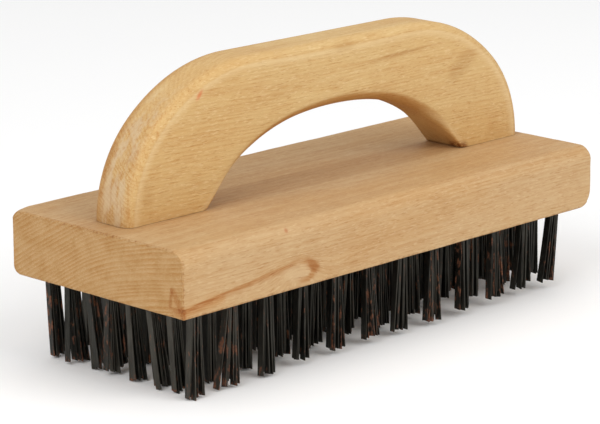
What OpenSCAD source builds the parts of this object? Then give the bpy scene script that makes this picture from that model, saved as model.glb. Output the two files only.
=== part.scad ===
/* [Block] */
// Length of the beech block, along X
block_l = 225; // [190:1:260]
// Width of the block, along Y
block_w = 90; // [80:1:110]
// Height of the block
block_h = 24.5; // [22:0.5:32]
// Radius along the long top edge at the front
top_r = 6; // [2:0.5:9]
// Radius along the long top edge at the back
back_top_r = 1.5; // [1:0.5:9]
// Radius along the long bottom edge at the back
back_r = 3.5; // [1:0.5:6]
// Radius along the long bottom edge at the front
front_r = 0.8; // [0.5:0.1:3]
// Radius of the worn bottom edge at the right end
nose_r = 4.5; // [1:0.5:8]
// Radius of the eased edges round the two ends
end_r = 1; // [0.5:0.1:3]

/* [Handle] */
// Length of the handle over its two feet
handle_l = 212.2; // [190:0.2:220]
// Height of the handle above the block
handle_h = 53.4; // [48:0.1:60]
// Thickness of the handle, along Y
handle_t = 19; // [15:0.5:24]
// How far the handle's middle sits from the block's middle, along X
handle_x = 2.6; // [-3:0.1:3]
// How far the handle's middle sits behind the block's middle, along Y
handle_y = 0.6; // [-2:0.1:2]
// How far the handle is turned on the block, seen from above, in degrees
handle_turn = -0.75; // [-1.5:0.05:1.5]
// Radius of the outline where it leaves the block
foot_r = 47.4; // [40:0.2:50]
// Radius of the outline at the shoulders
shoulder_r = 69; // [62:1:80]
// Radius rounded over along the outer edges
grip_r = 3.5; // [1:0.5:7]
// Width of the hand opening where it meets the block
arch_w = 138.4; // [130:0.2:145]
// Height of the hand opening
arch_h = 27.9; // [25:0.1:34]
// Middle of the hand opening, along X
arch_x = 4.7; // [0:0.1:8]
// Radius of the hand opening at its crown
crown_r = 150; // [120:1:200]
// Radius of the hand opening at its haunches
haunch_r = 82; // [72:1:90]
// Radius rounded over round the hand opening, at its crown
inner_r = 4.5; // [0.8:0.1:6]
// The same radius at the feet
foot_edge_r = 0.8; // [0.5:0.1:3]

/* [Tufts] */
// Columns of tufts along the block
cols = 12; // [8:1:12]
// Tufts across the block in each column
rows = 8; // [4:1:8]
// Distance from column to column
col_step = 17.95; // [15:0.05:18]
// Distance from tuft to tuft within a column
row_step = 10.67; // [9:0.01:11]
// Middle of the field of tufts, along X
field_x = -1.5; // [-3:0.5:3]
// Diameter of a tuft's blind hole
hole_d = 6.2; // [5.8:0.1:6.6]
// Depth of a tuft's blind hole
hole_depth = 15; // [12:0.5:18]

/* [Wires] */
// Wires folded into each tuft
wires = 4; // [2:1:4]
// Width of the flat wire
wire_w = 2.8; // [2:0.1:3]
// Thickness of the flat wire
wire_t = 0.5; // [0.3:0.05:0.5]
// Gap between wires that lie face to face in a tuft
wire_gap = 0.02; // [0.01:0.01:0.05]
// Free length of the wires at the left end
long_end = 32.5; // [28:0.5:45]
// Free length of the wires at the worn right end
short_end = 29.5; // [25:0.5:45]
// Most that one wire is shorter than its neighbours
ragged = 1.6; // [0:0.1:2]
// How far the outer wires of a tuft stand out at their tips
splay = 0.9; // [0:0.1:2]
// Seed of the uneven wire lengths and leans
seed = 7; // [1:1:99]

/* [Anchors] */
// Thickness of the staple that holds a tuft
anchor_t = 0.6; // [0.4:0.1:0.8]
// Width of the staple, which bites into both sides of the hole
anchor_w = 7.4; // [6.8:0.1:8]
// Height of the staple
anchor_h = 2.2; // [1.5:0.1:3]

/* [Screws] */
// Places of the two handle screws, along X
screw_xs = [-91.2, 88.25];
// Thread diameter
screw_d = 4.5; // [3.5:0.5:5]
// Head diameter
head_d = 8.8; // [7:0.1:10]
// Length over all
screw_l = 38; // [35:1:42]
// How deep the head sits in the block
head_sink = 3; // [1:0.5:6]

/* [Hidden] */
$fn = 64;
// How far a cutter reaches past the face it opens
over = 1;

column_names = [for (i = [1:cols]) str("tufts_", i)];
anchor_names = [for (i = [1:cols]) str("anchors_", i)];

block_z = long_end;
seat_z = block_z + block_h;

// Outline of the handle: a flat top, then a shoulder arc and a foot arc that meet smoothly
split_a = asin((shoulder_r - handle_h) / (shoulder_r - foot_r));
foot_cx = handle_l / 2 - foot_r;
shoulder_cx = foot_cx - (shoulder_r - foot_r) * cos(split_a);
shoulder_cz = handle_h - shoulder_r;
// Outline of the hand opening: a flat crown arc between two haunch arcs that meet it smoothly
crown_cz = arch_h - crown_r;
arch_d = crown_r - haunch_r;
crown_a = atan2(arch_w / 2, -crown_cz)
    - acos((pow(arch_w / 2, 2) + pow(crown_cz, 2) + pow(arch_d, 2) - pow(haunch_r, 2))
           / (2 * arch_d * norm([arch_w / 2, crown_cz])));
haunch_cx = arch_d * sin(crown_a);
haunch_cz = crown_cz + arch_d * cos(crown_a);
base_a = 90 - asin(-haunch_cz / haunch_r);
// Shares of the way to the foot where the round-over starts and stops shrinking
fade_from = 0.65;
fade_to = 0.98;
stations = 48;
corner_step = 22.5;

// Uneven wear: one number from 0 to 1 for every wire leg
legs = 2 * wires;
leg_draws = rands(0, 1, cols * rows * legs, seed);
lean_draws = rands(-1, 1, cols * rows, seed + 1);
// Distance from one folded wire to the next one out
layer_t = wire_t + wire_gap;
// Height of the middle of the folds, which touch the closed end of the hole
staple_z = block_z + hole_depth - anchor_t / 2 - wires * layer_t;

// Screw details: flat rim of the head, driver slot, and thread
rim_h = 0.6;
slot_w = 1.2;
slot_deep = 1.4;
head_h = (head_d - screw_d) / 2 + rim_h;
screw_clear = 0.3;
thread_pitch = 2;
thread_deep = 0.7;
thread_l = 20;
point_l = 4;
// Room between a screw's point and the end of its pilot hole, and round its thread
pilot_room = 0.9;
pilot_clear = 0.02;

function col_x(i) = field_x + (i - (cols + 1) / 2) * col_step;
function row_y(j) = (j - (rows + 1) / 2) * row_step;
function tuft_no(i, j) = (i - 1) * rows + j - 1;

// A rectangle from the origin whose four corners have their own radii
module round_rect(w, h, r_ll, r_lr, r_ur, r_ul)
{
    corners = [[0, 0, r_ll], [w, 0, r_lr], [w, h, r_ur], [0, h, r_ul]];
    difference()
    {
        square([w, h]);
        for (c = corners)
            translate([c[0] == 0 ? -c[2] : c[0] - c[2], c[1] == 0 ? -c[2] : c[1] - c[2]])
                square(2 * c[2]);
    }
    for (c = corners)
        translate([c[0] == 0 ? c[2] : c[0] - c[2], c[1] == 0 ? c[2] : c[1] - c[2]])
            circle(c[2]);
}

// The same, drawn in X and Z and given a thickness along Y about its middle
module xz_plate(thick)
{
    translate([0, thick / 2, 0])
        rotate([90, 0, 0])
            linear_extrude(thick)
                children();
}

module block_body()
{
    intersection()
    {
        translate([-block_l / 2, 0, 0])
            rotate([90, 0, 90])
                linear_extrude(block_l)
                    translate([-block_w / 2, block_z])
                        round_rect(block_w, block_h, front_r, back_r, back_top_r, top_r);
        xz_plate(block_w + 2 * over)
            translate([-block_l / 2, block_z])
                round_rect(block_l, block_h, end_r, nose_r, end_r, end_r);
        translate([-block_l / 2, -block_w / 2, block_z - over])
            linear_extrude(block_h + 2 * over)
                round_rect(block_l, block_w, end_r, end_r, end_r, end_r);
    }
}

// Blind hole of one tuft, with the slot that its staple cuts
module tuft_hole()
{
    translate([0, 0, block_z - over])
        cylinder(h = hole_depth + over, d = hole_d);
    translate([-anchor_t / 2, -anchor_w / 2, staple_z - anchor_h])
        cube([anchor_t, anchor_w, anchor_h + anchor_t / 2]);
}

module screw_hole()
{
    translate([0, 0, block_z - over])
        cylinder(h = block_h + 2 * over, d = screw_d + screw_clear);
    translate([0, 0, block_z - over])
        cylinder(h = head_sink + over, d = head_d + screw_clear);
    translate([0, 0, block_z + head_sink])
        cylinder(h = (head_d - screw_d) / 2, d1 = head_d + screw_clear, d2 = screw_d + screw_clear);
}

module block()
{
    color("burlywood")
        difference()
        {
            block_body();
            for (i = [1:cols], j = [1:rows])
                translate([col_x(i), row_y(j), 0])
                    tuft_hole();
            for (x = screw_xs)
                translate([x, 0, 0])
                    screw_hole();
        }
}

// A point of an outline made of arcs; each arc is [centre x, centre z, radius, first, last angle]
// from the vertical, and u runs from 0 at the first arc's start to 1 at the last one's end
function arc_l(arc) = arc[2] * (arc[4] - arc[3]) * PI / 180;
function arc_pt(arc, s) =
    let (a = arc[3] + s / arc[2] * 180 / PI)
    [arc[0] + arc[2] * sin(a), arc[1] + arc[2] * cos(a)];

// Right half of the outer outline, and of the hand opening, for u from 0 at the top to 1
function outer_half(u) =
    let (foot = [foot_cx, 0, foot_r, 90 - split_a, 90],
         shoulder = [shoulder_cx, shoulder_cz, shoulder_r, 0, 90 - split_a],
         s = u * (shoulder_cx + arc_l(shoulder) + arc_l(foot)))
    s < shoulder_cx ? [s, handle_h]
    : s < shoulder_cx + arc_l(shoulder) ? arc_pt(shoulder, s - shoulder_cx)
    : arc_pt(foot, s - shoulder_cx - arc_l(shoulder));
function inner_half(u) =
    let (crown = [0, crown_cz, crown_r, 0, crown_a],
         haunch = [haunch_cx, haunch_cz, haunch_r, crown_a, base_a],
         s = u * (arc_l(crown) + arc_l(haunch)))
    s < arc_l(crown) ? arc_pt(crown, s) : arc_pt(haunch, s - arc_l(crown));

// Both halves: u runs from -1 at the left foot to 1 at the right one
function mirrored(p, u) = [u < 0 ? -p[0] : p[0], p[1]];
function outer_pt(u) = mirrored(outer_half(abs(u)), u) + [handle_x, 0];
function inner_pt(u) = mirrored(inner_half(abs(u)), u) + [arch_x, 0];

// Radius round the hand opening at u; it shrinks towards the feet
function edge_r(u) =
    let (t = min(1, max(0, (abs(u) - fade_from) / (fade_to - fade_from))))
    inner_r + (foot_edge_r - inner_r) * t * t * (3 - 2 * t);

// Rounded section of the grip: depth from the hand opening outwards, then place along Y
function grip_section(depth, r) = [
    for (c = [[1, 1, grip_r], [-1, 1, r], [-1, -1, r], [1, -1, grip_r]])
        for (k = [0:90 / corner_step])
            let (a = c[0] * c[1] > 0 ? k * corner_step : 90 - k * corner_step,
                 edge = c[0] > 0 ? depth : 0)
            [edge - c[0] * c[2] * (1 - cos(a)), c[1] * (handle_t / 2 - c[2] * (1 - sin(a)))]];

function grip_ring(u) =
    let (inner = inner_pt(u), outer = outer_pt(u), depth = norm(outer - inner),
         along = (outer - inner) / depth)
    [for (p = grip_section(depth, edge_r(u))) [inner[0] + along[0] * p[0], p[1], inner[1] + along[1] * p[0]]];

// The grip, swept from the left foot to the right one
module grip()
{
    rings = [for (i = [0:stations]) grip_ring(2 * i / stations - 1)];
    n = len(rings[0]);
    polyhedron(
        points = [for (ring = rings) each ring],
        faces = concat(
            [[for (k = [0:n - 1]) k]],
            [for (i = [0:stations - 1], k = [0:n - 1])
                [i * n + k, (i + 1) * n + k, (i + 1) * n + (k + 1) % n, i * n + (k + 1) % n]],
            [[for (k = [n - 1:-1:0]) stations * n + k]]),
        convexity = 4);
}

// Pilot hole for a screw, from the foot's face up
module pilot_hole()
{
    reach = block_z + head_sink - rim_h + screw_l - seat_z + pilot_room;
    translate([0, 0, -over])
        cylinder(h = reach + over, d = screw_d + pilot_clear);
}

module handle()
{
    color("sandybrown")
        translate([0, 0, seat_z])
            difference()
            {
                translate([0, handle_y, 0])
                    rotate([0, 0, handle_turn])
                        grip();
                for (x = screw_xs)
                    translate([x, 0, 0])
                        pilot_hole();
            }
}

// Countersunk wood screw, head down, with ridges for its thread
module screw(x)
{
    thread_z = screw_l - point_l - thread_l;
    ridges = floor(thread_l / thread_pitch);
    core_r = screw_d / 2 - thread_deep;
    outline = concat(
        [[0, 0], [head_d / 2, 0], [head_d / 2, rim_h], [screw_d / 2, head_h], [screw_d / 2, thread_z]],
        [for (k = [0:ridges - 1], e = [0:1])
            [e == 0 ? core_r : screw_d / 2, thread_z + (k + (e == 0 ? 0.3 : 0.8)) * thread_pitch]],
        [[core_r, thread_z + thread_l], [0, screw_l]]);
    translate([x, 0, block_z + head_sink - rim_h])
        difference()
        {
            rotate_extrude()
                polygon(outline);
            translate([-head_d, -slot_w / 2, -over])
                cube([2 * head_d, slot_w, slot_deep + over]);
        }
}

module screw_left()
{
    color("silver")
        screw(screw_xs[0]);
}

module screw_right()
{
    color("silver")
        screw(screw_xs[1]);
}

// Free length of the wires in column i, shorter towards the worn end
function free_l(i) = long_end + (short_end - long_end) * (i - 1) / (cols - 1);

// Tip of leg k in a tuft: how far it stands out, and its height above the floor
function tip_x(i, j, side, layer) =
    let (lean = lean_draws[tuft_no(i, j)])
    side * splay * (layer + 1) / wires + lean * splay;
function tip_z(i, j, side, layer) =
    let (draw = leg_draws[tuft_no(i, j) * legs + 2 * layer + (side < 0 ? 0 : 1)])
    long_end - free_l(i) + draw * ragged;

// One flat wire folded over the staple; layer 0 is the innermost
module folded_wire(i, j, layer)
{
    inner = anchor_t / 2 + layer * layer_t + wire_gap;
    outer = inner + wire_t;
    lz = tip_z(i, j, -1, layer);
    rz = tip_z(i, j, 1, layer);
    lx = tip_x(i, j, -1, layer);
    rx = tip_x(i, j, 1, layer);
    xz_plate(wire_w)
        polygon(concat(
            [[-outer + lx, lz], [-inner + lx, lz], [-inner, block_z]],
            [for (a = [180:-45:0]) [inner * cos(a), staple_z + inner * sin(a)]],
            [[inner, block_z], [inner + rx, rz], [outer + rx, rz], [outer, block_z]],
            [for (a = [0:45:180]) [outer * cos(a), staple_z + outer * sin(a)]],
            [[-outer, block_z]]));
}

module tufts(i)
{
    color([0.19, 0.18, 0.17])
        for (j = [1:rows], layer = [0:wires - 1])
            translate([col_x(i), row_y(j), 0])
                folded_wire(i, j, layer);
}

module anchors(i)
{
    color("dimgray")
        for (j = [1:rows])
            translate([col_x(i) - anchor_t / 2, row_y(j) - anchor_w / 2, staple_z - anchor_h])
                cube([anchor_t, anchor_w, anchor_h]);
}

block();
handle();
screw_left();
screw_right();
for (i = [1:cols])
{
    tufts(i);
    anchors(i);
}
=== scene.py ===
"""A wooden wire brush: a beech block with a bow handle, and 96 tufts of flat steel wire."""

import math
import random

import bmesh
import bpy
import numpy as np
from mathutils import Matrix, Vector, noise


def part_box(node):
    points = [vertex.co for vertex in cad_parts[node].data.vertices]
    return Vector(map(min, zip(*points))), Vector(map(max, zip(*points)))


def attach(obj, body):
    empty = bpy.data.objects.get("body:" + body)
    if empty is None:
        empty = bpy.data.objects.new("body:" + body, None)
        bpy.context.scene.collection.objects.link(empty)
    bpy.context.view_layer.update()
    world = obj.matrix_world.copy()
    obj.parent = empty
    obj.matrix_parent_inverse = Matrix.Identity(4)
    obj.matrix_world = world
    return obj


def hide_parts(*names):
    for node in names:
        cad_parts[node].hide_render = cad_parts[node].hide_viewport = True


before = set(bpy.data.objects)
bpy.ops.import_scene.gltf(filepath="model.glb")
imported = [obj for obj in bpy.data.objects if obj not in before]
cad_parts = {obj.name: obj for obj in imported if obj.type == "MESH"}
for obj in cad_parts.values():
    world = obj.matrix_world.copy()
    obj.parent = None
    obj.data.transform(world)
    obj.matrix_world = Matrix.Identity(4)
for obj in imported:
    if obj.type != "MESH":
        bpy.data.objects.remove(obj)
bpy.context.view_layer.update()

MM = 0.001
UP = Vector((0, 0, 1))

# ---------------------------------------------------------------- measures, in millimetres
block_low, block_high = (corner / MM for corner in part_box("block"))
handle_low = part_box("handle")[0] / MM
BLOCK_Z = block_low.z
SEAT_Z = block_high.z

# The front is the -Y side. Radii along the block's four long edges: front bottom, back bottom,
# back top, front top
EDGE_RADII = (0.8, 3.5, 1.5, 6.0)
# Radii round the two end faces: left end, then right end, as (front, back, bottom, top)
RIM_RADII = ((0.8, 0.7, 0.8, 1.0), (1.5, 1.2, 1.0, 1.6))
# Radius of the worn bottom edge at the right end
NOSE_R = 6.5
# Extra wear where long edges meet the left end: front bottom, back bottom, back top, front top
CORNER_WEAR = (0.0, 0.5, 4.2, 0.8)
# How far from the left end that wear reaches
CORNER_REACH = 9.0
# How far the block's long edges wander, as a share of their radii
EDGE_WANDER = 0.12

# The handle: its size, then its middle and its turn in degrees, seen from above
HANDLE_L = 212.2
HANDLE_H = 53.4
HANDLE_T = 19.0
HANDLE_X = 2.6
HANDLE_Y = 0.6
HANDLE_TURN = -0.75
# Its outline is a foot arc and a shoulder arc; the hand opening's is a crown arc and two haunch arcs
FOOT_R = 47.4
SHOULDER_R = 69.0
ARCH_W = 138.4
ARCH_H = 27.9
ARCH_X = 4.7
CROWN_R = 150.0
HAUNCH_R = 82.0
# Radii rounded over along the outline, round the opening at its crown, and there at the feet
GRIP_R = 3.5
INNER_R = 4.5
FOOT_EDGE_R = 0.8
# Shares of the way to the foot where the opening's radius starts and stops shrinking
FADE = (0.65, 0.98)

# The field of tufts
COLS = 12
ROWS = 8
COL_STEP = 17.95
ROW_STEP = 10.67
FIELD_X = -1.5
HOLE_D = 6.2
HOLE_DEPTH = 15.0
HOLE_LIP = 0.25

# Folded wires in a tuft, their size, the gap between them at the fold, and the staple they hang on
WIRES = 4
WIRE_W = 2.8
WIRE_T = 0.5
WIRE_EDGE = 0.13
WIRE_GAP = 0.02
LAYER_T = WIRE_T + WIRE_GAP
ANCHOR_T = 0.6
STAPLE_Z = BLOCK_Z + HOLE_DEPTH - ANCHOR_T / 2 - WIRES * LAYER_T
# Share of the outer legs that stray from their tuft
STRAY_SHARE = 0.06
# Free length of the wires at the left end and at the worn right end, and the lowest a tip may reach
LONG_END = 32.5
SHORT_END = 29.5
TIP_FLOOR = 0.03

# The screws' places along X, their holes in the block and the pilot holes in the handle's feet
SCREW_XS = (-91.2, 88.25)
SCREW_HOLE_D = 4.8
SCREW_HEAD_D = 9.1
HEAD_SINK = 3.0
PILOT_R = 2.26
PILOT_TOP = 15.0
PILOT_POINT = 17.0

# The camera: three angles in degrees, its distance and its slides across and up, and its lens
CAMERA_AZIMUTH = -46.038
CAMERA_ELEVATION = 14.356
CAMERA_ROLL = -0.1075
CAMERA_AWAY = 1131.6
CAMERA_SLIDE = (-5.53, 9.95)
CAMERA_LENS = 177.9
CAMERA_SENSOR = 36.0

# Strength of the white surroundings, and where the lamps point, in metres
WORLD_LIGHT = 0.64
LAMP_AIM = (0, 0, 0.05)


# ---------------------------------------------------------------- meshes
def new_piece(name, verts, faces, material):
    """A mesh object from points in millimetres."""
    mesh = bpy.data.meshes.new(name)
    mesh.from_pydata([tuple(c * MM for c in v) for v in verts], [], faces)
    mesh.validate()
    obj = bpy.data.objects.new(name, mesh)
    bpy.context.scene.collection.objects.link(obj)
    mesh.materials.append(material)
    return obj


def shade_by_angle(obj, degrees):
    """Smooth faces, with the edges sharper than the angle left crisp."""
    work = bmesh.new()
    work.from_mesh(obj.data)
    limit = math.radians(degrees)
    for face in work.faces:
        face.smooth = True
    for edge in work.edges:
        edge.smooth = edge.calc_face_angle(math.pi) < limit
    work.to_mesh(obj.data)
    work.free()


def set_attribute(obj, name, values):
    """One number for each vertex, which a material can read."""
    layer = obj.data.attributes.new(name, "FLOAT", "POINT")
    layer.data.foreach_set("value", np.asarray(values, np.float32))


def cut(obj, cutter):
    """Takes the cutter's solids away from obj for good."""
    modifier = obj.modifiers.new("cut", "BOOLEAN")
    modifier.operation = "DIFFERENCE"
    modifier.solver = "EXACT"
    modifier.object = cutter
    bpy.context.view_layer.update()
    graph = bpy.context.evaluated_depsgraph_get()
    result = bpy.data.meshes.new_from_object(obj.evaluated_get(graph))
    obj.modifiers.clear()
    old = obj.data
    obj.data = result
    result.name = obj.name
    bpy.data.meshes.remove(old)
    spare = cutter.data
    bpy.data.objects.remove(cutter)
    bpy.data.meshes.remove(spare)


def turned_solids(name, outlines, sides, material):
    """Solids of revolution about upright axes; an outline is (x, y, [(radius, z), ...])."""
    verts, faces = [], []
    for x, y, outline in outlines:
        first = len(verts)
        for radius, z in outline:
            for k in range(sides):
                a = 2 * math.pi * k / sides
                verts.append((x + radius * math.cos(a), y + radius * math.sin(a), z))
        for ring in range(len(outline) - 1):
            for k in range(sides):
                a = first + ring * sides + k
                b = first + ring * sides + (k + 1) % sides
                faces.append((a, b, b + sides, a + sides))
        faces.append(tuple(first + k for k in reversed(range(sides))))
        last = first + (len(outline) - 1) * sides
        faces.append(tuple(last + k for k in range(sides)))
    return new_piece(name, verts, faces, material)


def wave(x, y, z, size, seed):
    """Smooth noise from -1 to 1 with features of that size."""
    return noise.noise(Vector((x / size + 7.3 * seed, y / size + 3.1 * seed, z / size)))


def ticks(low, high, fine, coarse, edge):
    """Grid lines from low to high, closer together within edge of both ends."""
    n_edge = max(2, round(edge / fine))
    n_mid = max(1, round((high - low - 2 * edge) / coarse))
    start = [low + edge * k / n_edge for k in range(n_edge)]
    middle = [low + edge + (high - low - 2 * edge) * k / n_mid for k in range(n_mid + 1)]
    end = [high - edge * (n_edge - 1 - k) / n_edge for k in range(n_edge)]
    return start + middle + end


def box_grid(xs, ys, zs):
    """The surface of a box as a closed grid: vertices and outward faces."""
    index, verts, faces = {}, [], []
    size = (len(xs) - 1, len(ys) - 1, len(zs) - 1)

    def at(i, j, k):
        if (i, j, k) not in index:
            index[(i, j, k)] = len(verts)
            verts.append([xs[i], ys[j], zs[k]])
        return index[(i, j, k)]

    for axis in range(3):
        u, v = (axis + 1) % 3, (axis + 2) % 3
        for side in (0, size[axis]):
            for a in range(size[u]):
                for b in range(size[v]):
                    quad = []
                    for da, db in ((0, 0), (1, 0), (1, 1), (0, 1)):
                        cell = [0, 0, 0]
                        cell[axis], cell[u], cell[v] = side, a + da, b + db
                        quad.append(at(*cell))
                    faces.append(tuple(quad if side else reversed(quad)))
    return np.array(verts), faces


def round_corner(point, u, v, corner, out, r):
    """Moves a point of a square corner onto an arc; u and v are the two axes."""
    du = out[0] * (point[u] - corner[0]) + r
    dv = out[1] * (point[v] - corner[1]) + r
    if du > 0 and dv > 0:
        shrink = max(du, dv) / math.hypot(du, dv)
        point[u] = corner[0] - out[0] * (r - du * shrink)
        point[v] = corner[1] - out[1] * (r - dv * shrink)


def round_long_edges(p):
    """Turns the four corners of the block's section into arcs, worn unevenly along X."""
    low, high = block_low, block_high
    corners = ((low.y, low.z), (high.y, low.z), (high.y, high.z), (low.y, high.z))
    outs = ((-1, -1), (1, -1), (1, 1), (-1, 1))
    for corner, out, radius, extra in zip(corners, outs, EDGE_RADII, CORNER_WEAR):
        for point in p:
            r = radius * (1 + EDGE_WANDER * wave(point[0], *corner, 9, 1))
            r += extra * max(0, 1 - (point[0] - low.x) / CORNER_REACH) ** 2
            round_corner(point, 1, 2, corner, out, r)


def round_nose(p):
    """The worn bottom edge at the right end."""
    for point in p:
        r = NOSE_R * (1 + 0.15 * wave(point[1], 0, 0, 14, 5))
        round_corner(point, 0, 2, (block_high.x, block_low.z), (1, -1), r)


def section_depth(y, z):
    """How deep a point lies in the block's rounded section, and the way out of it."""
    sy = 1 if y > (block_low.y + block_high.y) / 2 else -1
    sz = 1 if z > (block_low.z + block_high.z) / 2 else -1
    cy = block_high.y if sy > 0 else block_low.y
    cz = block_high.z if sz > 0 else block_low.z
    r = EDGE_RADII[{(-1, -1): 0, (1, -1): 1, (1, 1): 2, (-1, 1): 3}[(sy, sz)]]
    dy = sy * (y - cy) + r
    dz = sz * (z - cz) + r
    if dy > 0 and dz > 0:
        length = math.hypot(dy, dz) or 1
        return r - length, (sy * dy / length, sz * dz / length)
    if dy > dz:
        return r - dy, (sy, 0)
    return r - dz, (0, sz)


def round_end_rims(p):
    """Eases the edge all round each end face."""
    for point in p:
        for side, radii in zip((-1, 1), RIM_RADII):
            end = block_high.x if side > 0 else block_low.x
            away = side * (end - point[0])
            if away > max(radii) * 1.3:
                continue
            depth, out = section_depth(point[1], point[2])
            across = radii[0] if out[0] < 0 else radii[1]
            upright = radii[2] if out[1] < 0 else radii[3]
            r = across * out[0] ** 2 + upright * out[1] ** 2
            r *= 1 + 0.25 * wave(point[1], point[2], side, 5, 2)
            depth = max(depth, 0)
            if depth >= r or away >= r:
                continue
            a, b = r - depth, r - away
            shrink = max(a, b) / math.hypot(a, b)
            inward = (r - a * shrink) - depth
            point[0] = end - side * (r - b * shrink)
            point[1] -= out[0] * inward
            point[2] -= out[1] * inward


def dent(p):
    """Very shallow hollows all over, always inwards, so the box is never exceeded."""
    for point in p:
        depth, out = section_depth(point[1], point[2])
        hollow = 0.09 * (1 + wave(*point, 22, 3)) + 0.05 * (1 + wave(*point, 6, 4))
        if depth < 0.5:
            point[1] -= out[0] * hollow
            point[2] -= out[1] * hollow
        if abs(point[0]) > block_high.x - 0.5:
            point[0] -= math.copysign(hollow, point[0])


def make_block(material):
    """The wooden block, with its worn edges, 96 blind holes and two screw holes.

    It has no slots for the staples, so each staple cuts into the wood beside its hole."""
    xs = ticks(block_low.x, block_high.x, 0.5, 2.4, 8)
    ys = ticks(block_low.y, block_high.y, 0.6, 2.4, 7)
    zs = ticks(block_low.z, block_high.z, 0.6, 2.0, 6.5)
    verts, faces = box_grid(xs, ys, zs)
    round_long_edges(verts)
    round_end_rims(verts)
    round_nose(verts)
    dent(verts)
    block = new_piece("wood_block", verts, faces, material)
    outlines = []
    for i in range(COLS):
        for j in range(ROWS):
            x, y = tuft_place(i, j)
            lip = HOLE_D / 2 + HOLE_LIP
            outline = [(lip, BLOCK_Z - 1), (lip, BLOCK_Z + 0.15), (HOLE_D / 2, BLOCK_Z + 0.5)]
            top = BLOCK_Z + HOLE_DEPTH
            outline += [(HOLE_D / 2, top - 0.8), (HOLE_D / 2 - 1, top)]
            outlines.append((x, y, outline))
    head, shank = SCREW_HEAD_D / 2, SCREW_HOLE_D / 2
    for x in SCREW_XS:
        sink = BLOCK_Z + HEAD_SINK
        outline = [(head + 0.2, BLOCK_Z - 1), (head + 0.1, BLOCK_Z + 0.1), (head, BLOCK_Z + 0.4)]
        outline += [(head, sink), (shank, sink + head - shank), (shank, SEAT_Z + 1)]
        outlines.append((x, 0, outline))
    cut(block, turned_solids("holes", outlines, 28, material))
    shade_by_angle(block, 32)
    return block


# ---------------------------------------------------------------- handle
def arc_points(cx, cz, radius, first, last, count):
    """Points along an arc; the angles are from the vertical, in degrees."""
    points = []
    for k in range(count):
        a = math.radians(first + (last - first) * k / (count - 1))
        points.append((cx + radius * math.sin(a), cz + radius * math.cos(a)))
    return points


def outer_half():
    """Right half of the handle's outline, from the middle of the top to the foot."""
    split = math.degrees(math.asin((SHOULDER_R - HANDLE_H) / (SHOULDER_R - FOOT_R)))
    foot_x = HANDLE_L / 2 - FOOT_R
    shoulder_x = foot_x - (SHOULDER_R - FOOT_R) * math.cos(math.radians(split))
    shoulder_z = HANDLE_H - SHOULDER_R
    points = [(0, HANDLE_H)]
    points += arc_points(shoulder_x, shoulder_z, SHOULDER_R, 0, 90 - split, 60)
    points += arc_points(foot_x, 0, FOOT_R, 90 - split, 90, 60)[1:]
    return points


def inner_half():
    """Right half of the hand opening, from its crown to the foot."""
    crown_z = ARCH_H - CROWN_R
    d = CROWN_R - HAUNCH_R
    half = ARCH_W / 2
    span = math.hypot(half, crown_z)
    bend = (half**2 + crown_z**2 + d**2 - HAUNCH_R**2) / (2 * d * span)
    crown = math.degrees(math.atan2(half, -crown_z) - math.acos(bend))
    hx = d * math.sin(math.radians(crown))
    hz = crown_z + d * math.cos(math.radians(crown))
    base = 90 - math.degrees(math.asin(-hz / HAUNCH_R))
    points = arc_points(0, crown_z, CROWN_R, 0, crown, 30)
    points += arc_points(hx, hz, HAUNCH_R, crown, base, 60)[1:]
    return points


def along(points, share):
    """The point that far along a line of points, by length."""
    p = np.array(points)
    run = np.concatenate([[0], np.cumsum(np.hypot(*np.diff(p, axis=0).T))])
    at = share * run[-1]
    return np.array([np.interp(at, run, p[:, 0]), np.interp(at, run, p[:, 1])])


def edge_radius(u):
    """Radius rounded over round the hand opening; it shrinks towards the feet."""
    t = min(1, max(0, (abs(u) - FADE[0]) / (FADE[1] - FADE[0])))
    return INNER_R + (FOOT_EDGE_R - INNER_R) * t * t * (3 - 2 * t)


def grip_section():
    """Section of the grip, as rows that say how each point follows the depth and the radius.

    A point lies row[0] + row[1] * depth + row[2] * radius out from the hand opening, and at
    row[3] + row[4] * radius along Y. The outer round-overs stop a little short of tangent,
    which leaves a router's fine crease."""
    rows = []
    half = HANDLE_T / 2
    steps = 9
    crease = math.radians(9)
    span = math.pi / 2 - 2 * crease
    low, high = math.sin(crease), math.sin(crease + span)
    for sd, sy in ((1, 1), (-1, 1), (-1, -1), (1, -1)):
        arc = []
        for k in range(steps + 1):
            a = crease + span * k / steps
            edge = 1 - (math.sin(a) - low) / (high - low)
            side = 1 - (math.cos(a) - low) / (high - low)
            if sd > 0:
                arc.append((-GRIP_R * side, 1, 0, sy * (half - GRIP_R * edge), 0))
            else:
                arc.append((0, 0, side, sy * half, -sy * edge))
        if sd * sy < 0:
            arc.reverse()
        rows += arc
    return np.array(rows)


def section_points(rows, depth, radius):
    """The section's (depth, y) points for one depth of grip and one inner radius."""
    d = rows[:, 0] + rows[:, 1] * depth + rows[:, 2] * radius
    return np.column_stack([d, rows[:, 3] + rows[:, 4] * radius])


def fill_section(rows, gap):
    """Adds rows along the section's long flats, so that no face is wider than the gap."""
    usual_depth = 40.0
    points = section_points(rows, usual_depth, INNER_R)
    filled = []
    for k in range(len(rows)):
        after = (k + 1) % len(rows)
        n = int(np.hypot(*(points[after] - points[k])) // gap)
        for step in range(n + 1):
            filled.append(rows[k] + (rows[after] - rows[k]) * step / (n + 1))
    return np.array(filled)


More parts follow.
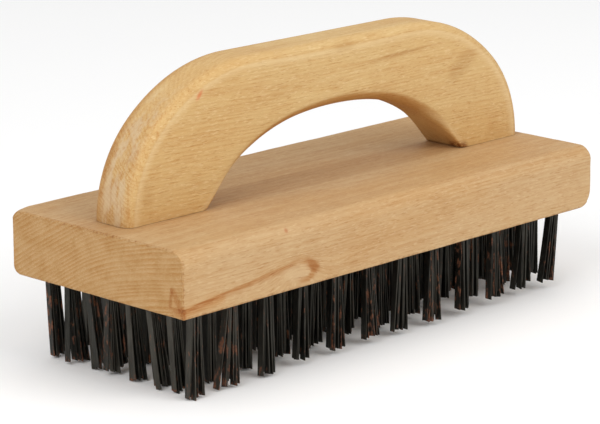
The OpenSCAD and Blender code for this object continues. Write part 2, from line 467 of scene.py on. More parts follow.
def make_handle(material):
    """The bow handle: one section swept from the left foot to the right one."""
    stations = 220
    outer, inner = outer_half(), inner_half()
    turn = Matrix.Translation((0, HANDLE_Y, 0)) @ Matrix.Rotation(math.radians(HANDLE_TURN), 4, "Z")
    rows = fill_section(grip_section(), 3.0)
    n = len(rows)
    verts, rims, inners, faces = [], [], [], []
    for i in range(stations + 1):
        u = 2 * i / stations - 1
        side = -1 if u < 0 else 1
        a = along(inner, abs(u)) * (side, 1) + (ARCH_X, 0)
        b = along(outer, abs(u)) * (side, 1) + (HANDLE_X, 0)
        depth = np.hypot(*(b - a))
        way = (b - a) / depth
        for d, y in section_points(rows, depth, edge_radius(u)):
            x, z = a + way * d
            verts.append(turn @ Vector((x, y, SEAT_Z + z)))
            rims.append(depth - d)
            inners.append(d)
    for i in range(stations):
        for k in range(n):
            a, b = i * n + k, i * n + (k + 1) % n
            faces.append((a, b, b + n, a + n))
    faces.append(tuple(reversed(range(n))))
    faces.append(tuple(stations * n + k for k in range(n)))
    handle = new_piece("wood_handle", verts, faces, material)
    set_attribute(handle, "rim", rims)
    set_attribute(handle, "inner", inners)
    orient(handle)
    pilots = []
    for x in SCREW_XS:
        outline = [(PILOT_R, SEAT_Z - 1), (PILOT_R, SEAT_Z + PILOT_TOP), (0.2, SEAT_Z + PILOT_POINT)]
        pilots.append((x, 0, outline))
    cut(handle, turned_solids("pilots", pilots, 24, material))
    shade_by_angle(handle, 28)
    return handle


def orient(obj):
    """Makes every face of a closed mesh look outwards."""
    work = bmesh.new()
    work.from_mesh(obj.data)
    bmesh.ops.recalc_face_normals(work, faces=work.faces)
    work.to_mesh(obj.data)
    work.free()


# ---------------------------------------------------------------- wires
def tuft_place(i, j):
    """Where the tuft in column i and row j stands; row 0 is the front one."""
    x = FIELD_X + (i - (COLS - 1) / 2) * COL_STEP
    return x, (j - (ROWS - 1) / 2) * ROW_STEP


def wire_section():
    """Section of a flat wire with rounded edges, as (across, through) pairs."""
    w, t, c = WIRE_W / 2, WIRE_T / 2, WIRE_EDGE
    corner = [(w, t - c), (w - c, t)]
    left = [(-x, y) for x, y in reversed(corner)]
    return corner + left + [(-x, -y) for x, y in corner] + [(x, -y) for x, y in reversed(corner)]


def tuft_habit(i, j, draw):
    """How a whole tuft stands: its lean along X and Y at the tips, its fan, and what it lacks in length.

    The left end's tufts lean more, and a few that stand out have a lean of their own."""
    lean_x = draw.gauss(0.1, 0.8)
    lean_y = draw.gauss(-0.1, 0.6)
    fan = draw.uniform(0.6, 1.35)
    trim = max(0, draw.gauss(0.2, 0.5))
    if i == 0:
        lean_x += draw.uniform(0.2, 1.5)
        lean_y -= draw.uniform(0.3, 1.8)
    if i == 0 and j in (2, 5):
        lean_y -= 1.6
    if i == 0 and j == 0:
        lean_x, lean_y, trim = 0.1, -0.1, 0
    if i == 1 and j == 0:
        lean_x, fan = -1.3, 1.9
    if i == COLS - 1 and j == 0:
        lean_x -= 3.4
    return lean_x, lean_y, fan, trim


def fold_radius(layer):
    """Distance from the middle of the staple to the middle of a wire; layer 0 is the inmost."""
    return ANCHOR_T / 2 + layer * LAYER_T + WIRE_GAP + WIRE_T / 2


def leg_path(side, layer, habit, length, draw):
    """One leg from the block down to its tip, as (x, y, z, twist) steps. Outer legs may stray."""
    lean_x, lean_y, fan, _ = habit
    root = side * fold_radius(layer)
    spread = side * fan * 0.95 * (layer + 0.6) / WIRES
    reach = spread + lean_x + draw.gauss(0, 0.16)
    drift = lean_y + draw.gauss(0, 0.75)
    stray = draw.random()
    if stray < STRAY_SHARE and layer == WIRES - 1:
        reach += side * draw.uniform(0.8, 2.6)
        drift += draw.uniform(-1.2, 1.2)
    bow = draw.gauss(0, 0.16)
    twist = draw.gauss(0, 7)
    steps = 11
    path = []
    for k in range(steps + 1):
        t = k / steps
        ease = t * (0.82 + 0.18 * t)
        swell = bow * math.sin(math.pi * t) * t
        x = root + reach * ease + swell
        y = drift * ease + 0.6 * swell
        path.append((x, y, BLOCK_Z - length * t, math.radians(twist) * t))
    return path


def wire_path(layer, habit, lengths, draw):
    """The whole folded wire: tip, leg, fold over the staple, leg, tip."""
    left = leg_path(-1, layer, habit, lengths[0], draw)
    right = leg_path(1, layer, habit, lengths[1], draw)
    radius = fold_radius(layer)
    fold = []
    for k in range(7):
        a = math.pi * (1 - k / 6)
        fold.append((radius * math.cos(a), 0, STAPLE_Z + radius * math.sin(a), 0))
    return left[::-1] + fold + right


def sweep_wire(path, section, place, verts, faces, chamfers):
    """Adds a flat strip along a path; its width runs square to the plane of the fold."""
    points = np.array([step[:3] for step in path])
    tangents = np.gradient(points, axis=0)
    tangents /= np.linalg.norm(tangents, axis=1)[:, None]
    first, n = len(verts), len(section)
    for index, (point, tangent, step) in enumerate(zip(points, tangents, path)):
        flip = 1 if index < len(path) / 2 else -1
        across = np.array([math.sin(step[3]) * flip, math.cos(step[3]), 0])
        across -= tangent * across.dot(tangent)
        across /= np.linalg.norm(across)
        through = np.cross(across, tangent)
        shear = chamfers[0] if index == 0 else chamfers[1] if index == len(path) - 1 else 0
        for a, b in section:
            p = point + across * a + through * b + (place[0], place[1], 0)
            p[2] = max(p[2] + shear * a, TIP_FLOOR)
            verts.append(tuple(p))
    for i in range(len(path) - 1):
        for k in range(n):
            a, b = first + i * n + k, first + i * n + (k + 1) % n
            faces.append((a, a + n, b + n, b))
    faces.append(tuple(first + k for k in range(n)))
    last = first + (len(path) - 1) * n
    faces.append(tuple(last + k for k in reversed(range(n))))


def make_wires(i, material):
    """One column of tufts: eight tufts of four folded wires.

    Each leg's lean is drawn on its own, so some wires of a tuft cut into each other."""
    draw = random.Random(400 + i)
    section = wire_section()
    verts, faces, tones, rusts = [], [], [], []
    free = LONG_END + (SHORT_END - LONG_END) * i / (COLS - 1)
    for j in range(ROWS):
        habit = tuft_habit(i, j, draw)
        for layer in range(WIRES):
            lengths = [free - habit[3] - abs(draw.gauss(0, 1.25)) for _ in range(2)]
            path = wire_path(layer, habit, lengths, draw)
            chamfers = [draw.gauss(0, 0.12) for _ in range(2)]
            before = len(verts)
            sweep_wire(path, section, tuft_place(i, j), verts, faces, chamfers)
            added = len(verts) - before
            tones += [draw.random()] * added
            rusts += [draw.random() ** 2 * 1.2] * added
    piece = new_piece(f"wires_{i + 1}", verts, faces, material)
    orient(piece)
    shade_by_angle(piece, 30)
    set_attribute(piece, "tone", tones)
    set_attribute(piece, "rust", rusts)
    return piece


# ---------------------------------------------------------------- materials
class Graph:
    """A material's nodes, made by short calls; values may be numbers or sockets."""

    def __init__(self, name):
        self.material = bpy.data.materials.new(name)
        self.material.use_nodes = True
        self.tree = self.material.node_tree
        self.shader = self.tree.nodes["Principled BSDF"]
        coords = self.node("ShaderNodeTexCoord")
        self.place = self.vector("SCALE", coords.outputs["Object"], scale=1 / MM)
        self.normal = coords.outputs["Normal"]

    def node(self, kind, **settings):
        made = self.tree.nodes.new(kind)
        for key, value in settings.items():
            setattr(made, key, value)
        return made

    def put(self, socket, value):
        if isinstance(value, bpy.types.NodeSocket):
            self.tree.links.new(value, socket)
        else:
            socket.default_value = value

    def vector(self, operation, a, b=None, scale=None):
        made = self.node("ShaderNodeVectorMath", operation=operation)
        self.put(made.inputs[0], a)
        if b is not None:
            self.put(made.inputs[1], b)
        if scale is not None:
            self.put(made.inputs["Scale"], scale)
        return made.outputs["Value" if operation in ("LENGTH", "DOT_PRODUCT") else "Vector"]

    def math(self, operation, a, b=0.0, clamp=False):
        made = self.node("ShaderNodeMath", operation=operation, use_clamp=clamp)
        self.put(made.inputs[0], a)
        self.put(made.inputs[1], b)
        return made.outputs[0]

    def plus(self, a, b, clamp=False):
        return self.math("ADD", a, b, clamp)

    def minus(self, a, b, clamp=False):
        return self.math("SUBTRACT", a, b, clamp)

    def times(self, a, b, clamp=False):
        return self.math("MULTIPLY", a, b, clamp)

    def split(self, vector):
        made = self.node("ShaderNodeSeparateXYZ")
        self.put(made.inputs[0], vector)
        return made.outputs[0], made.outputs[1], made.outputs[2]

    def join(self, x, y, z):
        made = self.node("ShaderNodeCombineXYZ")
        for socket, value in zip(made.inputs, (x, y, z)):
            self.put(socket, value)
        return made.outputs[0]

    def noise(self, place, per_mm, detail=2.0, rough=0.5, seed=0.0):
        """Noise from 0 to 1; per_mm is its fineness along X, Y and Z."""
        made = self.node("ShaderNodeTexNoise", noise_dimensions="3D")
        scaled = self.vector("MULTIPLY", place, per_mm)
        self.put(made.inputs["Vector"], self.vector("ADD", scaled, (seed, 2 * seed, 3 * seed)))
        self.put(made.inputs["Scale"], 1.0)
        self.put(made.inputs["Detail"], detail)
        self.put(made.inputs["Roughness"], rough)
        return made.outputs[0]

    def step(self, value, low, high):
        """0 below low and 1 above high, smoothly; or the other way round if low is higher."""
        made = self.node("ShaderNodeMapRange", interpolation_type="SMOOTHSTEP")
        self.put(made.inputs["Value"], value)
        flipped = low > high
        made.inputs["From Min"].default_value = min(low, high)
        made.inputs["From Max"].default_value = max(low, high)
        made.inputs["To Min"].default_value = 1.0 if flipped else 0.0
        made.inputs["To Max"].default_value = 0.0 if flipped else 1.0
        return made.outputs[0]

    def mix(self, share, a, b, blend="MIX"):
        made = self.node("ShaderNodeMix", data_type="RGBA", blend_type=blend)
        self.put(made.inputs[0], share)
        self.put(made.inputs[6], a)
        self.put(made.inputs[7], b)
        return made.outputs[2]

    def attribute(self, name):
        return self.node("ShaderNodeAttribute", attribute_name=name).outputs["Fac"]

    def spot(self, place, centre, radii, tilt=0.0):
        """1 in the middle of an ellipsoid and 0 outside it; tilt turns it about Y."""
        moved = self.vector("SUBTRACT", place, centre)
        turned = self.node("ShaderNodeVectorRotate", rotation_type="Y_AXIS")
        self.put(turned.inputs["Vector"], moved)
        turned.inputs["Angle"].default_value = math.radians(tilt)
        inverse = tuple(1 / r for r in radii)
        size = self.vector("LENGTH", self.vector("MULTIPLY", turned.outputs[0], inverse))
        return self.step(size, 1.0, 0.25)

    def stroke(self, u, v, start, stop, width):
        """A line from start to stop in the plane of u and v, 1 along it and 0 at its width."""
        along = (stop[0] - start[0], stop[1] - start[1])
        square = along[0] ** 2 + along[1] ** 2
        du = self.minus(u, start[0])
        dv = self.minus(v, start[1])
        share = self.times(du, along[0] / square)
        share = self.plus(share, self.times(dv, along[1] / square), clamp=True)
        off_u = self.minus(du, self.times(share, along[0]))
        off_v = self.minus(dv, self.times(share, along[1]))
        away = self.vector("LENGTH", self.join(off_u, off_v, 0.0))
        return self.step(away, width, width * 0.25)

    def bump(self, height, distance, strength):
        made = self.node("ShaderNodeBump")
        made.inputs["Distance"].default_value = distance
        made.inputs["Strength"].default_value = strength
        self.put(made.inputs["Height"], height)
        self.put(self.shader.inputs["Normal"], made.outputs[0])


def colour(red, green, blue):
    """A linear colour from the usual 0 to 255 values."""
    channels = []
    for value in (red, green, blue):
        v = value / 255
        channels.append(v / 12.92 if v <= 0.04045 else ((v + 0.055) / 1.055) ** 2.4)
    return (*channels, 1.0)


def darken(g, base, share, tint):
    """Multiplies the colour by a tint, as far as the share says."""
    return g.mix(share, base, tint, "MULTIPLY")


def wood_rings(g, place, heart):
    """The distance from the heart of the tree, an axis along X, with a natural sway."""
    _, y, z = g.split(place)
    flat = g.join(0.0, y, z)
    away = g.vector("LENGTH", g.vector("SUBTRACT", flat, (0, heart[0], heart[1])))
    sway = g.noise(place, (0.006, 0.020, 0.020), 1, 0.3, 3.0)
    away = g.plus(away, g.times(sway, 9.0))
    uneven = g.noise(g.join(0.0, away, 0.0), (1, 0.20, 1), 0, 0.5, 5.0)
    return g.plus(away, g.times(uneven, 3.0))


def ring_tone(g, away, width):
    """Late wood as a thin darker line that fades inwards, once in every ring."""
    turn = g.math("FRACT", g.math("DIVIDE", away, width))
    rise = g.step(turn, 0.10, 0.80)
    fall = g.step(turn, 1.0, 0.86)
    return g.times(rise, fall)


def wood(name, tones, heart, ring, seed, bend=None):
    """Beech: rings, long fibres, short flecks, end grain and a dry satin surface.

    heart is the (y, z) of the tree's middle and ring the width of a year. bend may move the
    grain aside, as round a knot. Returns the graph, the colour so far, the fibres and the relief."""
    g = Graph(name)
    grain = bend(g) if bend else g.place
    place = g.vector("ADD", grain, (seed * 37.0, 0, 0))
    late = ring_tone(g, wood_rings(g, place, heart), ring)
    patchy = g.step(g.noise(place, (0.02, 0.12, 0.12), 2, 0.5, seed + 1), 0.3, 0.7)
    faint = g.times(late, g.plus(0.15, g.times(patchy, 0.30)))
    fibre = g.noise(place, (0.075, 1.9, 1.9), 5, 0.70, seed + 2)
    streak = g.noise(place, (0.012, 0.30, 0.30), 3, 0.55, seed + 3)
    fleck = g.step(g.noise(place, (0.28, 2.4, 2.4), 1, 0.5, seed + 4), 0.60, 0.74)
    glow = g.step(g.noise(place, (0.34, 1.7, 1.7), 2, 0.6, seed + 5), 0.54, 0.70)
    broad = g.noise(place, (0.014, 0.05, 0.05), 3, 0.55, seed + 6)
    cloud = g.noise(place, (0.10, 0.16, 0.16), 3, 0.6, seed + 8)

    base = g.mix(g.step(broad, 0.35, 0.65), tones["light"], tones["warm"])
    base = g.mix(g.times(g.step(streak, 0.42, 0.72), 0.45), base, tones["deep"])
    base = g.mix(g.times(g.step(cloud, 0.45, 0.70), 0.35), base, tones["deep"])
    base = darken(g, base, faint, TINTS["ring"])
    base = darken(g, base, g.step(fibre, 0.50, 0.68), TINTS["fibre"])
    base = darken(g, base, g.times(fleck, 0.8), TINTS["fleck"])
    base = g.mix(g.times(glow, 0.40), base, tones["pale"])

    nx, _, _ = g.split(g.normal)
    cross = g.step(g.math("ABSOLUTE", nx), 0.50, 0.95)
    pores = g.noise(place, (1.2, 2.6, 2.6), 4, 0.75, seed + 7)
    end = g.mix(g.step(cloud, 0.38, 0.66), tones["end"], tones["end_deep"])
    marked = g.times(late, g.plus(0.45, g.times(patchy, 0.5)))
    end = darken(g, end, marked, TINTS["end_ring"])
    end = darken(g, end, g.step(pores, 0.50, 0.62), TINTS["pore"])
    end = g.mix(g.times(g.step(pores, 0.44, 0.36), 0.50), end, tones["pale"])
    base = g.mix(cross, base, end)

    height = g.plus(g.times(fibre, -0.6), g.times(fleck, -0.5))
    height = g.plus(height, g.times(late, -0.2))
    height = g.plus(height, g.times(pores, -0.5))
    return g, base, fibre, height


def finish_wood(g, base, fibre, height, roughness):
    """Puts the colour, gloss and fine relief on the shader."""
    g.put(g.shader.inputs["Base Color"], base)
    rough = g.plus(roughness, g.times(fibre, 0.16))
    g.put(g.shader.inputs["Roughness"], rough)
    g.shader.inputs["Specular IOR Level"].default_value = 0.25
    g.bump(height, 0.22 * MM, 0.5)
    return g.material


# What each mark multiplies the colour of the wood by
TINTS = {
    "ring": (0.86, 0.75, 0.60, 1),
    "fibre": (0.89, 0.80, 0.69, 1),
    "fleck": (0.84, 0.72, 0.58, 1),
    "end_ring": (0.87, 0.72, 0.50, 1),
    "pore": (0.90, 0.80, 0.66, 1),
    "streak": (0.77, 0.56, 0.36, 1),
    "corner": (0.90, 0.72, 0.50, 1),
    "swirl": (0.80, 0.61, 0.42, 1),
    "eye": (0.80, 0.62, 0.44, 1),
    "end_mark": (0.78, 0.58, 0.38, 1),
    "worn": (0.86, 0.76, 0.64, 1),
    "grit": (0.66, 0.52, 0.40, 1),
    "grime": (0.70, 0.60, 0.50, 1),
    # painted shade on the block's top under the handle
    "shade_under_handle": (0.72, 0.58, 0.42, 1),
    "torn": (0.84, 0.67, 0.48, 1),
    # painted shade along the handle's back edge
    "far_edge_shade": (0.80, 0.64, 0.46, 1),
    # the hand opening's cut-across grain, with painted shade
    "inner_grain_and_shade": (0.86, 0.70, 0.50, 1),
    # painted shade under the crown of the hand opening
    "crown": (0.74, 0.56, 0.38, 1),
    "smudge": (0.70, 0.57, 0.42, 1),
    "chip": (0.42, 0.26, 0.15, 1),
    # dust, with painted shade, along the handle's joint with the block
    "joint_dust_and_shade": (0.50, 0.36, 0.24, 1),
}
# The wood itself: plain patches, deeper streaks, pale fibres, and the end grain
BLOCK_TONES = {
    "light": colour(195, 162, 119),
    "warm": colour(192, 155, 108),
    "deep": colour(182, 142, 95),
    "pale": colour(209, 181, 142),
    "end": colour(186, 150, 103),
    "end_deep": colour(178, 139, 88),
}
HANDLE_TONES = {
    "light": colour(208, 176, 122),
    "warm": colour(205, 168, 111),
    "deep": colour(195, 154, 98),
    "pale": colour(224, 198, 152),
    "end": colour(200, 166, 115),
    "end_deep": colour(188, 148, 95),
}
# The middle of each piece's tree, as (y, z), and the width of its rings
BLOCK_HEART = (-88.0, -172.0)
BLOCK_RING = 1.6
HANDLE_HEART = (70.0, -30.0)
HANDLE_RING = 1.25
# The knot on the front of the block: its middle (x, z), how far its swirl reaches, and its dark eye
KNOT = (-56.0, 38.6)
KNOT_REACH = (9.0, 3.9)
KNOT_EYE = (-47.6, 39.8)
# The streak that climbs to the knot: where it starts (x, z), its slope, and its soft lower corner
STREAK_START = (-111.8, 36.4)
STREAK_SLOPE = 0.118
CORNER_STREAK = ((-116.0, 34.6), (-94.0, 37.2), 3.2)
# Strokes on the left end, as start (y, z), stop (y, z), width
END_STROKES = (((-38.9, 42.5), (-38.2, 37.0), 1.3), ((-39.8, 42.2), (-45.6, 33.0), 2.2))
# Worn patches on the top of the block, as middle (x, y), reach (x, y)
WORN_PATCHES = (
    ((52, -30), (22, 9)),
    ((86, -38), (12, 6)),
    ((-70, -33), (14, 6)),
    ((-94, 10), (34, 42)),
)
# Smudges on the front of the handle, as middle (x, z), reach (x, z), tilt, strength
SMUDGES = (
    ((7.0, 107.5), (9.0, 3.0), 0, 0.45),
    ((73.0, 90.0), (13.0, 6.0), 30, 0.45),
    ((-94.0, 68.0), (5.0, 8.0), 10, 0.30),
    ((-30.0, 94.0), (20.0, 5.0), 4, 0.15),
    ((38.0, 100.0), (26.0, 1.2), 3, 0.50),
)
# Small red flecks, (x, z) on the front of the block and of the handle
BLOCK_FLECK = (-60.0, 54.8)
HANDLE_FLECK = (-68.0, 100.0)
# The mark of broken splinters at the right foot's inner corner
CHIP = ((75.0, SEAT_Z), (69.5, SEAT_Z + 0.4), 3.4)


def near_edges(g, place):
    """1 along the block's edges and 0 on its faces."""
    x, y, z = g.split(place)
    to_end = g.minus(block_high.x, g.math("ABSOLUTE", x))
    to_side = g.minus(block_high.y, g.math("ABSOLUTE", y))
    to_top = g.minus(SEAT_Z, z)
    to_base = g.minus(z, BLOCK_Z)
    to_face = g.math("MINIMUM", to_top, to_base)
    wobble = g.times(g.noise(place, (0.7, 0.7, 0.7), 2, 0.6, 11.0), 1.4)
    pairs = ((to_end, to_side), (to_end, to_face), (to_side, to_base))
    nearest = None
    for a, b in pairs:
        reach = g.plus(g.math("MAXIMUM", a, b), wobble)
        nearest = reach if nearest is None else g.math("MINIMUM", nearest, reach)
    return g.step(nearest, 2.2, 0.9)


def knot_reach(g):
    """Distance from the knot's middle, 1 on its swirl, and 1 near the block's front."""
    x, y, z = g.split(g.place)
    across = g.math("DIVIDE", g.minus(x, KNOT[0]), KNOT_REACH[0])
    upright = g.math("DIVIDE", g.minus(z, KNOT[1]), KNOT_REACH[1])
    away = g.vector("LENGTH", g.join(across, upright, 0.0))
    ripple = g.noise(g.place, (0.25, 0.2, 0.5), 2, 0.5, 19.0)
    away = g.plus(away, g.times(g.minus(ripple, 0.5), 0.5))
    near = g.step(y, block_low.y + 10, block_low.y + 2)
    return away, near


def round_knot(g):
    """The grain's coordinates, pushed up where it passes over the knot."""
    away, near = knot_reach(g)
    lift = g.times(g.times(g.step(away, 2.4, 0.2), near), -4.0)
    return g.vector("ADD", g.place, g.join(0.0, 0.0, lift))


def block_wood():
    """The block's wood, with its brown streak, knot, grubby edges and a strip of painted shade under the
    handle.
    """
    g, base, fibre, height = wood("beech_block", BLOCK_TONES, BLOCK_HEART, BLOCK_RING, 0.0, round_knot)
    place = g.place
    x, y, z = g.split(place)
    away, near = knot_reach(g)
    streaky = g.step(fibre, 0.36, 0.60)

    # A brown streak that climbs from the left corner to the knot, crisp above and soft below
    wander = g.noise(place, (0.06, 0.2, 0.2), 2, 0.5, 21.0)
    line = g.plus(STREAK_START[1], g.times(g.minus(x, STREAK_START[0]), STREAK_SLOPE))
    line = g.plus(line, g.times(g.minus(wander, 0.5), 1.8))
    off = g.minus(z, line)
    body = g.times(g.step(off, 0.5, -0.1), g.step(off, -3.0, -0.4))
    body = g.times(body, g.step(x, -52.0, -60.0))
    body = g.times(body, near)
    body = g.times(body, g.plus(0.6, g.times(streaky, 0.4)))
    base = darken(g, base, body, TINTS["streak"])

    corner = g.times(g.stroke(x, z, *CORNER_STREAK), near)
    corner = g.times(corner, g.plus(0.4, g.times(streaky, 0.4)))
    base = darken(g, base, corner, TINTS["corner"])

    # The knot: a pale heart inside a brown swirl that is darkest on its right
    heart = g.times(g.step(away, 1.1, 0.3), near)
    base = g.mix(g.times(heart, 0.32), base, BLOCK_TONES["pale"])
    swirl = g.step(g.math("ABSOLUTE", g.minus(away, 1.02)), 0.38, 0.06)
    swirl = g.times(swirl, g.times(g.step(x, -58.0, -50.0), near))
    swirl = g.times(swirl, g.plus(0.55, g.times(streaky, 0.45)))
    base = darken(g, base, swirl, TINTS["swirl"])
    eye = g.spot(place, (KNOT_EYE[0], block_low.y, KNOT_EYE[1]), (6.0, 9, 3.4), -35)
    eye = g.times(eye, near)
    base = darken(g, base, g.times(eye, 0.85), TINTS["eye"])

    # A small red fleck, and brown marks beside the near bottom corner of the left end
    fleck = g.spot(place, (BLOCK_FLECK[0], block_low.y, BLOCK_FLECK[1]), (1.5, 5, 1.2), 30)
    base = g.mix(g.times(fleck, 0.7), base, colour(176, 104, 62))
    end = g.step(x, block_low.x + 2.0, block_low.x + 0.5)
    for start, stop, width in END_STROKES:
        mark = g.times(g.stroke(y, z, start, stop, width), end)
        mark = g.times(mark, g.plus(0.55, g.times(streaky, 0.45)))
        base = darken(g, base, mark, TINTS["end_mark"])
    for middle, reach in WORN_PATCHES:
        worn = g.times(g.spot(place, (*middle, SEAT_Z), (*reach, 9)), streaky)
        base = darken(g, base, g.times(worn, 0.5), TINTS["worn"])

    # Handling dirt along the edges, and on the underside between the tufts
    edges = near_edges(g, place)
    gritty = g.step(g.noise(place, (0.5, 0.9, 0.9), 3, 0.7, 31.0), 0.48, 0.62)
    base = darken(g, base, g.times(edges, gritty), TINTS["grit"])
    under = g.step(z, BLOCK_Z + 0.6, BLOCK_Z + 0.1)
    grime = g.noise(place, (0.10, 0.13, 0.13), 3, 0.6, 33.0)
    grime = g.times(under, g.plus(0.35, g.step(grime, 0.35, 0.7)))
    base = darken(g, base, g.times(grime, 0.6, clamp=True), TINTS["grime"])

    # A slightly darker strip of painted shade along the top, as wide as the handle, where the handle
    # shades the block
    strip = g.step(g.math("ABSOLUTE", y), HANDLE_T / 2 + 0.9, HANDLE_T / 2 - 0.2)
    strip = g.times(strip, g.step(z, SEAT_Z - 1.5, SEAT_Z - 0.4))
    base = darken(g, base, g.times(strip, 0.35), TINTS["shade_under_handle"])
    return finish_wood(g, base, fibre, height, 0.55)


def handle_wood():
    """The handle's wood: more golden, with dry pale end grain round the feet and smudges, and painted
    light and shade along its edges and in its hand opening.
    """
    g, base, fibre, height = wood("beech_handle", HANDLE_TONES, HANDLE_HEART, HANDLE_RING, 2.0)
    place = g.place
    x, y, z = g.split(place)
    rim = g.attribute("rim")
    low_side = g.step(z, SEAT_Z + 50, SEAT_Z + 34)

    # The outer curve cuts across the fibres: dried pale in the middle, torn brown beside it
    outer = g.step(rim, 2.2, 0.6)
    rubbed = g.step(g.noise(place, (0.16, 0.28, 0.07), 3, 0.6, 41.0), 0.40, 0.58)
    middle = g.step(g.math("ABSOLUTE", g.minus(y, 1.0)), 7.5, 3.5)
    dry = g.times(g.times(outer, low_side), g.times(rubbed, middle))
    base = g.mix(g.times(dry, 0.55), base, colour(203, 180, 148))
    torn = g.step(g.noise(place, (0.8, 0.8, 0.14), 3, 0.65, 43.0), 0.50, 0.66)
    beside = g.step(rim, 5.5, 1.5)
    torn = g.times(g.times(torn, beside), low_side)
    base = darken(g, base, g.times(torn, 0.65), TINTS["torn"])

    # A painted highlight along the crease where the round-over ends, and a brown line of painted shade
    # along the back's outline
    crease = g.times(g.step(rim, GRIP_R - 0.7, GRIP_R + 0.4), g.step(rim, GRIP_R + 4, GRIP_R))
    base = g.mix(g.times(crease, 0.40), base, HANDLE_TONES["pale"])
    back_outline_shade = g.step(y, HANDLE_T / 2 - 4.5, HANDLE_T / 2 - 1.5)
    back_outline_shade = g.times(back_outline_shade, g.step(rim, 3.5, 1.5))
    base = darken(g, base, g.times(back_outline_shade, 0.6), TINTS["far_edge_shade"])

    # The hand opening's surface is browner, from its cut-across grain and from painted shade, which is
    # darkest under the crown; painted light makes the lip paler low down
    inner = g.attribute("inner")
    crown = g.step(z, SEAT_Z + 8, SEAT_Z + 25)
    grain_and_shade_mottle = g.noise(place, (0.08, 0.20, 0.16), 3, 0.6, 45.0)
    grain_and_shade_mottle = g.plus(0.65, g.times(grain_and_shade_mottle, 0.7), clamp=True)
    inner_grain_and_shade = g.times(g.step(inner, 4.0, 0.8), grain_and_shade_mottle)
    base = darken(g, base, g.times(inner_grain_and_shade, 0.35), TINTS["inner_grain_and_shade"])
    # Painted shade, darkest under the crown
    under = g.times(g.step(inner, 4.4, 2.6), crown)
    base = darken(g, base, g.times(under, grain_and_shade_mottle), TINTS["crown"])
    # A band of painted light along the lip, low down
    lip = g.times(g.step(inner, 4.2, 2.0), g.step(inner, 0.4, 1.6))
    lip = g.times(lip, g.step(z, SEAT_Z + 22, SEAT_Z + 12))
    base = g.mix(g.times(lip, 0.30), base, HANDLE_TONES["pale"])

    # Smudges and a red fleck on the front
    front = g.step(y, 0.0, handle_low.y + 2)
    for (cx, cz), (rx, rz), tilt, depth in SMUDGES:
        spot = g.times(g.spot(place, (cx, handle_low.y, cz), (rx, 6, rz), tilt), front)
        base = darken(g, base, g.times(spot, depth), TINTS["smudge"])
    fleck = g.spot(place, (HANDLE_FLECK[0], handle_low.y, HANDLE_FLECK[1]), (3.8, 5, 1.5), 48)
    base = g.mix(g.times(fleck, 0.9), base, colour(204, 108, 62))

    # A dark mark of broken splinters on the right foot, and dust with painted shade along the joint
    chip = g.stroke(x, z, *CHIP)
    chip = g.times(chip, g.step(y, -3.0, -6.0))
    ragged = g.step(g.noise(place, (0.5, 0.5, 1.0), 3, 0.7, 47.0), 0.36, 0.52)
    base = darken(g, base, g.times(chip, ragged), TINTS["chip"])
    joint_dust_and_shade = g.times(g.step(z, SEAT_Z + 1.1, SEAT_Z + 0.2), g.step(inner, 3.0, 1.0))
    base = darken(g, base, g.times(joint_dust_and_shade, 0.7), TINTS["joint_dust_and_shade"])
    return finish_wood(g, base, fibre, height, 0.50)


def rusty(g, amount, seed):
    """Patches of rust from 0 to 1; amount is how rusty this place may get."""
    blotch = g.noise(g.place, (0.55, 0.55, 0.22), 4, 0.65, seed)
    return g.step(g.plus(blotch, g.times(amount, 0.14)), 0.66, 0.75)


def wire_steel():
    """Dark, oil-blackened flat wire with drawn streaks and rust."""
    g = Graph("wire_steel")
    tone, rust = g.attribute("tone"), g.attribute("rust")
    _, _, z = g.split(g.place)
    drawn = g.noise(g.place, (3.5, 3.5, 0.10), 3, 0.6, 51.0)
    patch = g.noise(g.place, (0.30, 0.30, 0.10), 2, 0.5, 52.0)
    base = g.mix(tone, colour(38, 38, 34), colour(70, 67, 60))
    base = g.mix(g.times(g.step(drawn, 0.5, 0.75), 0.5), base, colour(104, 101, 94))
    base = darken(g, base, g.times(g.step(patch, 0.45, 0.7), 0.7), (0.5, 0.48, 0.46, 1))
    tips = g.step(z, 5.0, 0.5)
    amount = g.plus(rust, g.times(tips, 0.55))
    spots = rusty(g, amount, 53.0)
    shade = g.noise(g.place, (1.6, 1.6, 1.6), 2, 0.6, 54.0)
    brown = g.mix(g.step(shade, 0.35, 0.65), colour(84, 47, 30), colour(136, 80, 47))
    base = g.mix(g.times(spots, 0.75), base, brown)
    g.put(g.shader.inputs["Base Color"], base)
    metal = g.minus(0.85, g.times(spots, 0.8), clamp=True)
    g.put(g.shader.inputs["Metallic"], metal)
    rough = g.plus(0.36, g.times(drawn, 0.16))
    rough = g.plus(rough, g.times(spots, 0.35), clamp=True)
    g.put(g.shader.inputs["Roughness"], rough)
    height = g.plus(g.times(drawn, 0.4), g.times(spots, 0.6))
    g.bump(height, 0.06 * MM, 0.5)
    return g.material


def plain_steel(name, base_tone, rust_share, seed):
    """Brushed steel for the screws and the hidden staples, with a little rust."""
    g = Graph(name)
    brushed = g.noise(g.place, (0.4, 5.0, 5.0), 3, 0.6, seed)
    cloudy = g.noise(g.place, (0.5, 0.5, 0.5), 2, 0.5, seed + 1)
    base = darken(g, base_tone, g.step(brushed, 0.45, 0.7), (0.80, 0.79, 0.76, 1))
    base = darken(g, base, g.step(cloudy, 0.45, 0.7), (0.72, 0.70, 0.66, 1))
    spots = rusty(g, rust_share, seed + 2)
    base = g.mix(g.times(spots, 0.8), base, colour(120, 62, 34))
    g.put(g.shader.inputs["Base Color"], base)
    g.put(g.shader.inputs["Metallic"], g.minus(1.0, g.times(spots, 0.8)))
    rough = g.plus(0.30, g.times(brushed, 0.2))
    g.put(g.shader.inputs["Roughness"], g.plus(rough, g.times(spots, 0.3), clamp=True))
    g.bump(brushed, 0.03 * MM, 0.4)
    return g.material


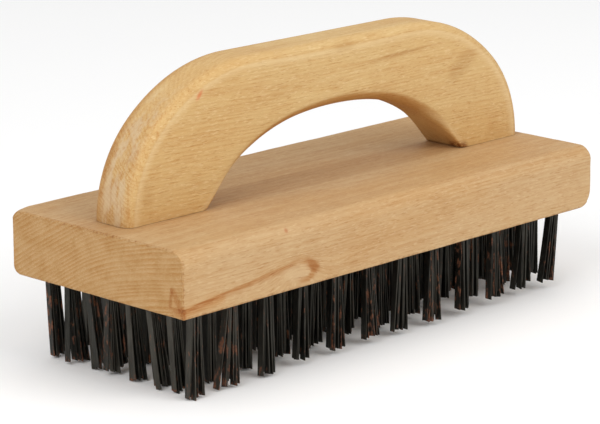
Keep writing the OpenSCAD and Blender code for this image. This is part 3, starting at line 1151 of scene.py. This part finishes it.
def floor_material():
    """A pale matt floor with the faintest mottle."""
    g = Graph("pale_floor")
    mottle = g.noise(g.place, (0.004, 0.004, 0.004), 2, 0.5, 61.0)
    base = g.mix(mottle, (0.955, 0.955, 0.955, 1), (0.97, 0.97, 0.97, 1))
    g.put(g.shader.inputs["Base Color"], base)
    g.shader.inputs["Roughness"].default_value = 0.9
    g.shader.inputs["Specular IOR Level"].default_value = 0.1
    return g.material


# ---------------------------------------------------------------- stage
def make_floor():
    """A large round pale floor under the tips of the wires."""
    work = bmesh.new()
    bmesh.ops.create_circle(work, cap_ends=True, radius=8.0, segments=96)
    mesh = bpy.data.meshes.new("floor")
    work.to_mesh(mesh)
    work.free()
    mesh.materials.append(floor_material())
    floor = bpy.data.objects.new("floor", mesh)
    bpy.context.scene.collection.objects.link(floor)


def make_camera():
    """The photograph's viewpoint."""
    az, el, roll = (math.radians(a) for a in (CAMERA_AZIMUTH, CAMERA_ELEVATION, CAMERA_ROLL))
    back = Vector((math.sin(az) * math.cos(el), -math.cos(az) * math.cos(el), math.sin(el)))
    right = Vector((math.cos(az), math.sin(az), 0))
    up = back.cross(right)
    side = math.cos(roll) * right + math.sin(roll) * up
    top = -math.sin(roll) * right + math.cos(roll) * up
    target = UP * BLOCK_Z
    spot = target + back * CAMERA_AWAY + side * CAMERA_SLIDE[0] + top * CAMERA_SLIDE[1]
    data = bpy.data.cameras.new("camera")
    data.sensor_width = CAMERA_SENSOR
    data.lens = CAMERA_LENS
    data.clip_start, data.clip_end = 0.05, 50.0
    camera = bpy.data.objects.new("camera", data)
    bpy.context.scene.collection.objects.link(camera)
    turn = Matrix((side, top, back)).transposed().to_4x4()
    camera.matrix_world = Matrix.Translation(spot * MM) @ turn
    bpy.context.scene.camera = camera


def area_light(name, spot, size, power, tint):
    """A large soft lamp, pointed at the brush; its place and size are in metres."""
    data = bpy.data.lights.new(name, "AREA")
    data.shape = "RECTANGLE"
    data.size, data.size_y = size
    data.energy = power
    data.color = tint
    lamp = bpy.data.objects.new(name, data)
    bpy.context.scene.collection.objects.link(lamp)
    lamp.location = spot
    lamp.rotation_euler = (Vector(LAMP_AIM) - Vector(spot)).to_track_quat("-Z", "Y").to_euler()


def make_light():
    """Soft white surroundings, two equal lamps for the front and the left end, and a weak one above."""
    scene = bpy.context.scene
    scene.view_settings.view_transform = "Standard"
    world = bpy.data.worlds.new("studio")
    world.use_nodes = True
    world.node_tree.nodes["Background"].inputs["Color"].default_value = (1.0, 1.0, 1.0, 1)
    world.node_tree.nodes["Background"].inputs["Strength"].default_value = WORLD_LIGHT
    scene.world = world
    area_light("key", spot=(0.30, -1.4, 1.3), size=(1.4, 1.0), power=14.0, tint=(1.0, 0.99, 0.97))
    area_light("fill", spot=(-1.5, -0.35, 1.3), size=(1.2, 1.0), power=14.0, tint=(0.98, 0.99, 1.0))
    area_light("top", spot=(0.1, 0.3, 1.9), size=(1.6, 1.6), power=4.0, tint=(1.0, 1.0, 1.0))


# ---------------------------------------------------------------- assembly
def dress(node, material):
    """Gives a CAD piece its procedural material."""
    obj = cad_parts[node]
    obj.data.materials.clear()
    obj.data.materials.append(material)


def assemble():
    """Every visible piece, riding on the one body."""
    block = make_block(block_wood())
    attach(block, "root")
    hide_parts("block")
    handle = make_handle(handle_wood())
    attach(handle, "root")
    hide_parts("handle")
    steel = wire_steel()
    for i in range(COLS):
        wires = make_wires(i, steel)
        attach(wires, "root")
        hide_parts(f"tufts_{i + 1}")
    staple = plain_steel("staple_steel", (0.42, 0.41, 0.39, 1), 0.6, 71.0)
    zinc = plain_steel("screw_steel", (0.62, 0.61, 0.57, 1), 0.3, 81.0)
    for i in range(COLS):
        dress(f"anchors_{i + 1}", staple)
    for node in ("screw_left", "screw_right"):
        dress(node, zinc)


make_camera()
make_light()
make_floor()
assemble()
